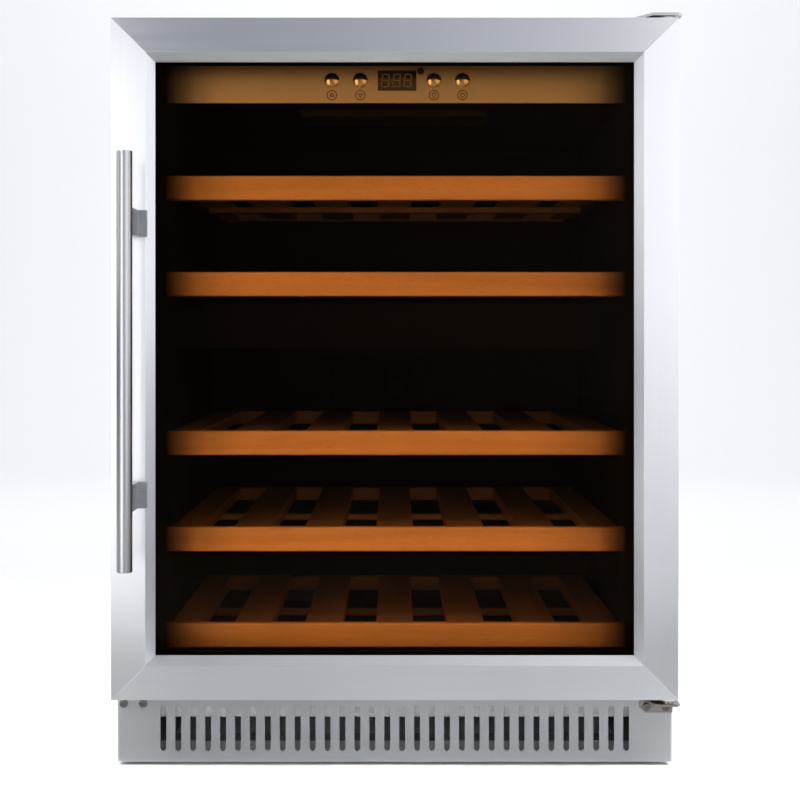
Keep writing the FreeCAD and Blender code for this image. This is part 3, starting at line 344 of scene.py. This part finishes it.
# Painted shade: the handle posts and the top hinge bracket use a darker copy of the door steel.
post_steel_painted_shade = brushed_steel("steel_post_painted_shade", "x", "z", lit(STEEL, 0.62), 0.32, 0.5)
bracket_steel = brushed_steel("nickel_bracket", "x", "y", (0.27, 0.245, 0.22), 0.28, 0.3)
screw_steel = brushed_steel("screw_steel", "x", "y", (0.17, 0.165, 0.16), 0.25, 0.2)
strip_steel = brushed_steel("strip_metal", "x", "x", (0.46, 0.46, 0.43), 0.5, metallic=0.85)
black = moulded("black_liner", (0.002, 0.002, 0.002), 0.5, Specular_IOR_Level=0.06)
divider_black = moulded("divider_black", (0.0012, 0.0012, 0.0013), 0.5, Specular_IOR_Level=0.03)
dark_trim = moulded("dark_trim", (0.014, 0.014, 0.014), 0.5, Specular_IOR_Level=0.3)
diffuser = moulded("lamp_diffuser", (0.012, 0.0115, 0.011), 0.4, 300, 0.05, Specular_IOR_Level=0.1)
shell_paint = painted("shell_paint", (0.018, 0.018, 0.019))
cover_paint = painted("cover_paint", (0.03, 0.03, 0.032), 0.45)
can_paint = painted("can_paint", (0.012, 0.012, 0.013), 0.25)
galvanised = zinc("galvanised")
fins = zinc("aluminium_fins", (0.7, 0.71, 0.73))
black_rubber = rubber("black_rubber")
nylon = moulded("white_nylon", (0.7, 0.69, 0.66), 0.4)
board_green = circuit_board("circuit_board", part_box("control_panel")[0].y + 2 * MM)
smoked = moulded("smoked_window", (0.01, 0.009, 0.008), 0.12, 300, 0.02, Coat_Weight=1.0, Coat_Roughness=0.04)
enamel = moulded("black_enamel", (0.002, 0.002, 0.002), 0.6, 600, 0.02, Specular_IOR_Level=0.0)
beech_across = beech("beech_across", "x")
# Painted shade: the decks and their rails, set back inside the cabinet, use a much darker copy of the fronts'
# beech.
beech_along_painted_shade = beech("beech_along_painted_shade", "y", (0.23, 0.13, 0.065))

FINISHES = {
    upright: ["door_stile_left", "door_stile_right"],
    level: ["door_rail_top", "door_rail_bottom"],
    kick_steel_painted_shade: ["kick_plate"],
    bar_steel_painted_shade: ["handle_bar"],
    post_steel_painted_shade: ["handle_posts", "top_hinge_bracket"],
    bracket_steel: ["bottom_hinge_bracket"],
    screw_steel: ["bracket_screws"],
    strip_steel: ["control_panel"],
    black: ["inner_liner", "shelf_runners", "upper_evaporator_cover", "lower_evaporator_cover",
            "upper_fan", "lower_fan"],
    divider_black: ["zone_divider", "lower_lamp_cover"],
    dark_trim: ["door_core", "condenser_fan", "condenser_shroud", "mains_inlet",
                "front_foot_left", "front_foot_right", "rear_foot_left", "rear_foot_right"],
    diffuser: ["upper_lamp_cover"],
    shell_paint: ["cabinet_shell"],
    cover_paint: ["machine_cover"],
    can_paint: ["compressor"],
    galvanised: ["back_panel", "underbody_panel"],
    frame_paint("frame_grey"): ["base_frame"],
    fins: ["evaporators", "condenser"],
    black_rubber: ["door_gasket", "compressor_mounts"],
    enamel: ["glass_spacer"],
    nylon: ["hinge_bushes", "drip_tray"],
    board_green: ["control_board"],
    smoked: ["display_window"],
    foam("polyurethane_foam"): ["insulation"],
    pane("tinted_glass", (0.9, 0.73, 0.54), 1.08): ["outer_glass"],
    pane("clear_glass", (0.99, 0.995, 0.99), 1.05): ["inner_glass"],
    beech_across: [f"shelf_{n}_front" for n in range(1, 6)],
    beech_along_painted_shade: [f"shelf_{n}_deck" for n in range(1, 6)],
}
for material, names in FINISHES.items():
    for name in names:
        paint_node(name, material)

BUTTONS = ["temperature_up_button", "temperature_down_button", "light_button", "power_button"]


def middle(name):
    low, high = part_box(name)
    return (low + high) / 2


for name in BUTTONS:
    paint_node(name, lathe_turned(name + "_metal", (0.72, 0.68, 0.6), middle(name)))


# ---- softened edges -------------------------------------------------------------------------------

FRAME_EDGE, FITTING_EDGE, DECK_EDGE = 0.25 * MM, 0.5 * MM, 1.0 * MM
WELD_REACH = 0.01 * MM


def soften(name, width):
    """Rounds a node's sharp edges a little, as folded and machined edges are."""
    node = nodes[name]
    weld = node.modifiers.new("weld", "WELD")
    weld.merge_threshold = WELD_REACH
    bevel = node.modifiers.new("bevel", "BEVEL")
    bevel.width = width
    bevel.segments = 2
    bevel.limit_method = "ANGLE"
    bevel.angle_limit = math.radians(40)
    bevel.harden_normals = True


for name in ("door_stile_left", "door_stile_right", "door_rail_top", "door_rail_bottom"):
    soften(name, FRAME_EDGE)
for name in ("handle_posts", "zone_divider", "control_panel", "top_hinge_bracket", "bottom_hinge_bracket"):
    soften(name, FITTING_EDGE)
for n in range(1, 6):
    soften(f"shelf_{n}_deck", DECK_EDGE)


# ---- pieces added to the design -------------------------------------------------------------------

def finish_piece(mesh, name, material, body):
    """Links a mesh as a piece of the cooler that rides on a body."""
    data = bpy.data.meshes.new(name)
    mesh.to_mesh(data)
    mesh.free()
    data.materials.append(material)
    piece = bpy.data.objects.new(name, data)
    scene.collection.objects.link(piece)
    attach(piece, body)


def add_prism(mesh, outline, front, back):
    """A thin plate in the XZ plane from its outline, between two depths in Y."""
    near_ring = [mesh.verts.new((x, front, z)) for x, z in outline]
    far_ring = [mesh.verts.new((x, back, z)) for x, z in outline]
    mesh.faces.new(near_ring)
    mesh.faces.new(reversed(far_ring))
    for i in range(len(outline)):
        j = (i + 1) % len(outline)
        mesh.faces.new((near_ring[j], near_ring[i], far_ring[i], far_ring[j]))


FULL_TURN = 2 * math.pi
RING_STEPS = 40


def add_ring(mesh, centre, radius, width, front, back, start=0.0, sweep=FULL_TURN):
    """A flat ring, or an arc of one, in the XZ plane."""
    whole = sweep >= FULL_TURN
    count = RING_STEPS if whole else RING_STEPS + 1
    rows = []
    for i in range(count):
        angle = start + sweep * i / RING_STEPS
        for r, y in ((radius, front), (radius + width, front), (radius + width, back), (radius, back)):
            rows.append(mesh.verts.new((centre[0] + r * math.cos(angle), y, centre[1] + r * math.sin(angle))))
    spans = count if whole else count - 1
    for i in range(spans):
        a, b = 4 * i, 4 * ((i + 1) % count)
        for k in range(4):
            mesh.faces.new((rows[a + k], rows[a + (k + 1) % 4], rows[b + (k + 1) % 4], rows[b + k]))
    if not whole:
        mesh.faces.new(rows[:4][::-1])
        mesh.faces.new(rows[-4:])


DIGITS, DIGIT_PITCH, DIGIT_SHIFT = 3, 0.29, 0.015
DIGIT_WIDE, DIGIT_TALL = 0.2, 0.66
BAR_SHARE, LEAN, DOT_POINTS = 0.13, 0.1, 12


def add_segments(mesh, x, z, wide, tall, front, back):
    """A seven-segment figure with all of its bars, leaning slightly, and its point."""
    bar = wide * BAR_SHARE
    half_w, half_h = wide / 2, tall / 2

    def slanted(points):
        return [(x + px + LEAN * pz, z + pz) for px, pz in points]

    for level_z in (-half_h + bar / 2, 0, half_h - bar / 2):
        reach, thin = half_w - bar * 0.75, bar / 2
        add_prism(mesh, slanted([
            (-reach, level_z), (-reach + thin, level_z - thin), (reach - thin, level_z - thin),
            (reach, level_z), (reach - thin, level_z + thin), (-reach + thin, level_z + thin),
        ]), front, back)
    for side in (-1, 1):
        for base in (-half_h + bar * 0.75, bar * 0.25):
            top = base + half_h - bar
            px, thin = side * (half_w - bar / 2), bar / 2
            add_prism(mesh, slanted([
                (px, base), (px + thin, base + thin), (px + thin, top - thin),
                (px, top), (px - thin, top - thin), (px - thin, base + thin),
            ]), front, back)
    dot = [(half_w + bar * (0.8 + 0.5 * math.cos(a)), -half_h + bar * (0.5 + 0.5 * math.sin(a)))
           for a in [FULL_TURN * i / DOT_POINTS for i in range(DOT_POINTS)]]
    add_prism(mesh, slanted(dot), front, back)


unlit = moulded("unlit_segments", (0.2, 0.19, 0.18), 0.5, 300, 0.05)
digits = bmesh.new()
window_low, window_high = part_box("display_window")
window_mid = (window_low + window_high) / 2
window_wide, window_tall = window_high.x - window_low.x, window_high.z - window_low.z
for i in range(DIGITS):
    add_segments(
        digits, window_mid.x + (i - 1) * window_wide * DIGIT_PITCH - window_wide * DIGIT_SHIFT, window_mid.z,
        window_wide * DIGIT_WIDE, window_tall * DIGIT_TALL, window_low.y - 0.1 * MM, window_low.y + 0.05 * MM,
    )
finish_piece(digits, "display_digits", unlit, "cabinet")

strip_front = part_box("control_panel")[0].y
print_front, print_back = strip_front - 0.06 * MM, strip_front + 0.05 * MM
ICON_DROP, ICON_RADIUS, ICON_LINE = 16.1 * MM, 4.7 * MM, 0.8 * MM
ARC_SWEEP = math.radians(300)


def add_line(mesh, start, end, wide):
    """A straight printed line between two points of the XZ plane."""
    run = Vector((end[0] - start[0], end[1] - start[1]))
    side = Vector((-run.y, run.x)).normalized() * wide / 2
    points = [(start[0] + side.x, start[1] + side.y), (start[0] - side.x, start[1] - side.y),
              (end[0] - side.x, end[1] - side.y), (end[0] + side.x, end[1] + side.y)]
    add_prism(mesh, points, print_front, print_back)


def icon(button):
    """A circle under a button, with its sign inside: up, down, lamp or power."""
    centre = middle(button)
    x, z = centre.x, centre.z - ICON_DROP
    mesh = bmesh.new()
    add_ring(mesh, (x, z), ICON_RADIUS, ICON_LINE, print_front, print_back)
    reach = ICON_RADIUS * 0.55
    if button.startswith("temperature"):
        turn = 1 if "up" in button else -1
        for a, b in ((90, 210), (210, 330), (330, 450)):
            ends = [(x + reach * math.cos(math.radians(d)), z + turn * reach * math.sin(math.radians(d)))
                    for d in (a, b)]
            add_line(mesh, *ends, ICON_LINE)
    elif button == "light_button":
        add_ring(mesh, (x, z + reach * 0.25), reach * 0.62, ICON_LINE, print_front, print_back,
                 math.radians(-60), ARC_SWEEP)
        for drop in (0.75, 1.0):
            low = z - reach * drop
            add_line(mesh, (x - reach * 0.3, low), (x + reach * 0.3, low), ICON_LINE)
    else:
        add_ring(mesh, (x, z), reach * 0.75, ICON_LINE, print_front, print_back,
                 math.radians(120), ARC_SWEEP)
        add_line(mesh, (x, z + reach * 0.1), (x, z + reach * 1.05), ICON_LINE)
    finish_piece(mesh, button.replace("_button", "_icon"), ink, "cabinet")


ink = moulded("printed_ink", (0.006, 0.004, 0.003), 0.6, 600, 0.05, Specular_IOR_Level=0.05)
for name in BUTTONS:
    icon(name)


# For each side of the glass, how far from the middle the solid print begins and where the lines end; the
# thinning lines are partly print and partly painted shade of the door frame on the shelf ends, reaching
# further on the left.
PRINT_AND_SHADE_EDGES = {-1: (243 * MM, 211 * MM), 1: (245 * MM, 217 * MM)}
LINE_PITCH = 0.5 * MM
PRINT_MARGIN_SIDE, PRINT_MARGIN_END = 4 * MM, 5 * MM


def add_strip(mesh, x0, x1, low, high, front, back):
    """An upright plate between two places in X."""
    left, right = sorted((x0, x1))
    add_prism(mesh, [(left, low), (right, low), (right, high), (left, high)], front, back)


def print_and_shade_glass_edge():
    """The black print behind the outer pane: solid at both sides, then ever thinner upright lines, which are
    also painted shade of the door frame on the shelf ends, wider on the left.
    """
    low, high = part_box("outer_glass")
    top, bottom = high.z - PRINT_MARGIN_END, low.z + PRINT_MARGIN_END
    front, back = high.y + 0.01 * MM, high.y + 0.03 * MM
    mesh = bmesh.new()
    for side, (solid_edge, fade_end) in PRINT_AND_SHADE_EDGES.items():
        count = round((solid_edge - fade_end) / LINE_PITCH)
        add_strip(mesh, side * solid_edge, side * (high.x - PRINT_MARGIN_SIDE), bottom, top, front, back)
        # Print and painted shade: the thinning lines darken what is seen behind the glass near its sides.
        for i in range(count):
            x = solid_edge - (i + 0.5) * LINE_PITCH
            half = LINE_PITCH / 2 * (1 - (i + 0.5) / count)
            add_strip(mesh, side * (x - half), side * (x + half), bottom, top, front, back)
    finish_piece(mesh, "glass_print_and_shade", enamel, "door")


print_and_shade_glass_edge()


# ---- studio ---------------------------------------------------------------------------------------

def area_light(name, place, target, size, radiance, colour, spread=180):
    """A rectangular softbox of even brightness; a spread below 180 degrees narrows its beam."""
    lamp = bpy.data.lights.new(name, "AREA")
    lamp.spread = math.radians(spread)
    lamp.shape = "RECTANGLE"
    lamp.size, lamp.size_y = size
    lamp.energy = radiance * math.pi * size[0] * size[1]
    lamp.color = colour
    item = bpy.data.objects.new(name, lamp)
    scene.collection.objects.link(item)
    item.location = place
    item.rotation_mode = "QUATERNION"
    item.rotation_quaternion = (Vector(target) - Vector(place)).to_track_quat("-Z", "Y")


def make_floor():
    """A pale floor that curves up into a backdrop far behind."""
    mesh = bmesh.new()
    front, back, bend, high, half_wide, steps = -8.0, 3.0, 1.5, 6.0, 9.0, 12
    profile = [(front, 0.0), (back, 0.0)]
    for i in range(1, steps + 1):
        angle = math.pi / 2 * i / steps
        profile.append((back + bend * math.sin(angle), bend * (1 - math.cos(angle))))
    profile.append((back + bend, high))
    rows = [[mesh.verts.new((x, y, z)) for y, z in profile] for x in (-half_wide, half_wide)]
    for i in range(len(profile) - 1):
        mesh.faces.new((rows[0][i], rows[1][i], rows[1][i + 1], rows[0][i + 1]))
    data = bpy.data.meshes.new("studio_floor")
    mesh.to_mesh(data)
    mesh.free()
    for face in data.polygons:
        face.use_smooth = True
    floor = bpy.data.objects.new("studio_floor", data)
    scene.collection.objects.link(floor)
    paper = Finish("floor_paper", (0.82, 0.82, 0.82), 0.9)
    data.materials.append(paper.material)


def make_card():
    """A grey card on the floor in front of the cooler, seen only in reflections: a painted reflection of
    shaded floor that darkens the lower reflections in the steel.
    """
    mesh = bmesh.new()
    corners = [(-1.5, -0.75), (1.5, -1.2), (1.5, -0.23), (-1.5, -0.23)]
    mesh.faces.new([mesh.verts.new((x, y, 2 * MM)) for x, y in corners])
    data = bpy.data.meshes.new("floor_card")
    mesh.to_mesh(data)
    mesh.free()
    card = bpy.data.objects.new("floor_card", data)
    scene.collection.objects.link(card)
    grey = Finish("card_grey_painted_reflection", (0.5, 0.5, 0.5), 0.9)
    split = grey.add("ShaderNodeSeparateXYZ")
    grey.link(grey.place, split.inputs[0])
    across = grey.spread(split.outputs["X"], 0, 1, -0.6, 0.6)
    # Painted reflection: darkest on the left, mid grey in the middle, dark grey on the right.
    grey.colour(grey.ramp(across, [(0, (0.16,) * 3), (0.5, (0.4,) * 3), (1, (0.26,) * 3)]))
    data.materials.append(grey.material)
    card.visible_camera = card.visible_diffuse = card.visible_shadow = False


def make_world():
    """A room that is bright on the right and dark on the left, as the steel's reflections suggest."""
    world = bpy.data.worlds.new("studio")
    scene.world = world
    world.use_nodes = True
    tree = world.node_tree
    place = tree.nodes.new("ShaderNodeTexCoord")
    split = tree.nodes.new("ShaderNodeSeparateXYZ")
    tree.links.new(place.outputs["Generated"], split.inputs[0])
    shift = tree.nodes.new("ShaderNodeMapRange")
    shift.inputs["From Min"].default_value = -0.24
    shift.inputs["From Max"].default_value = 0.2
    tree.links.new(split.outputs["X"], shift.inputs["Value"])
    ramp = tree.nodes.new("ShaderNodeValToRGB")
    for element, colour in zip(ramp.color_ramp.elements, ((0.125, 0.15, 0.21), (0.98, 1.0, 1.06))):
        element.color = (*colour, 1)
    tree.links.new(shift.outputs["Result"], ramp.inputs["Fac"])
    tree.links.new(ramp.outputs["Color"], tree.nodes["Background"].inputs["Color"])


make_floor()
make_card()
make_world()
CAMERA_BACK, CAMERA_HIGH = 1.5, 0.4595
AIM = FRONT - CAMERA_BACK
WARM, WHITE = (1, 0.985, 0.965), (1, 1, 1)

# Name, place, target, width and height, brightness, colour.
SOFTBOXES = [
    ("left_box", (-0.9, AIM + 0.35, 0.52), (0, FRONT, 0.52), (0.6, 1.02), 3.8, WARM),
    ("left_high_box", (-1.17, AIM, 1.65), (0, FRONT, 1.65), (0.78, 1.1), 2.2, WARM),
    ("right_box", (1.1, AIM, 1.39), (0, FRONT, 1.39), (0.9, 1.96), 1.85, WARM),
    ("right_low_box", (1.1, AIM, 0.24), (0, FRONT, 0.24), (0.9, 0.34), 1.45, WARM),
    ("left_wall", (-2.5, -0.2, 1.55), (0, -0.2, 1.55), (1.6, 2.0), 1.6, WARM),
    ("right_wall", (2.5, -0.2, 1.4), (0, -0.2, 1.4), (1.6, 2.0), 1.15, WARM),
    ("top_box", (0, 0.2, 2.8), (0, 0.3, 0.4), (2.4, 1.6), 1.6, WHITE),
    ("backdrop_box", (0, 1.4, 3.2), (0, 4.2, 1.0), (5.0, 1.2), 4.0, WHITE),
]
for name, place, target, size, radiance, colour in SOFTBOXES:
    area_light(name, place, target, size, radiance, colour)
for side in (-1, 1):
    area_light("floor_box", (side * 1.1, 0.4, 1.6), (side * 0.4, 0.1, 0), (0.5, 0.9), 1.7, WHITE, spread=50)
    area_light("front_floor_box", (side * 1.3, -0.9, 1.5), (side * 0.1, -0.3, 0), (0.4, 0.4), 3.0, WHITE,
               spread=35)

camera_data = bpy.data.cameras.new("camera")
camera = bpy.data.objects.new("camera", camera_data)
scene.collection.objects.link(camera)
camera.location = (0, FRONT - CAMERA_BACK, CAMERA_HIGH)
camera.rotation_euler = (math.pi / 2, 0, 0)
camera_data.sensor_width = 36
camera_data.lens = 64.4
camera_data.shift_x = 0.0066
camera_data.shift_y = -0.079
camera_data.clip_start = 0.05
camera_data.clip_end = 60
scene.camera = camera
scene.view_settings.view_transform = "Standard"
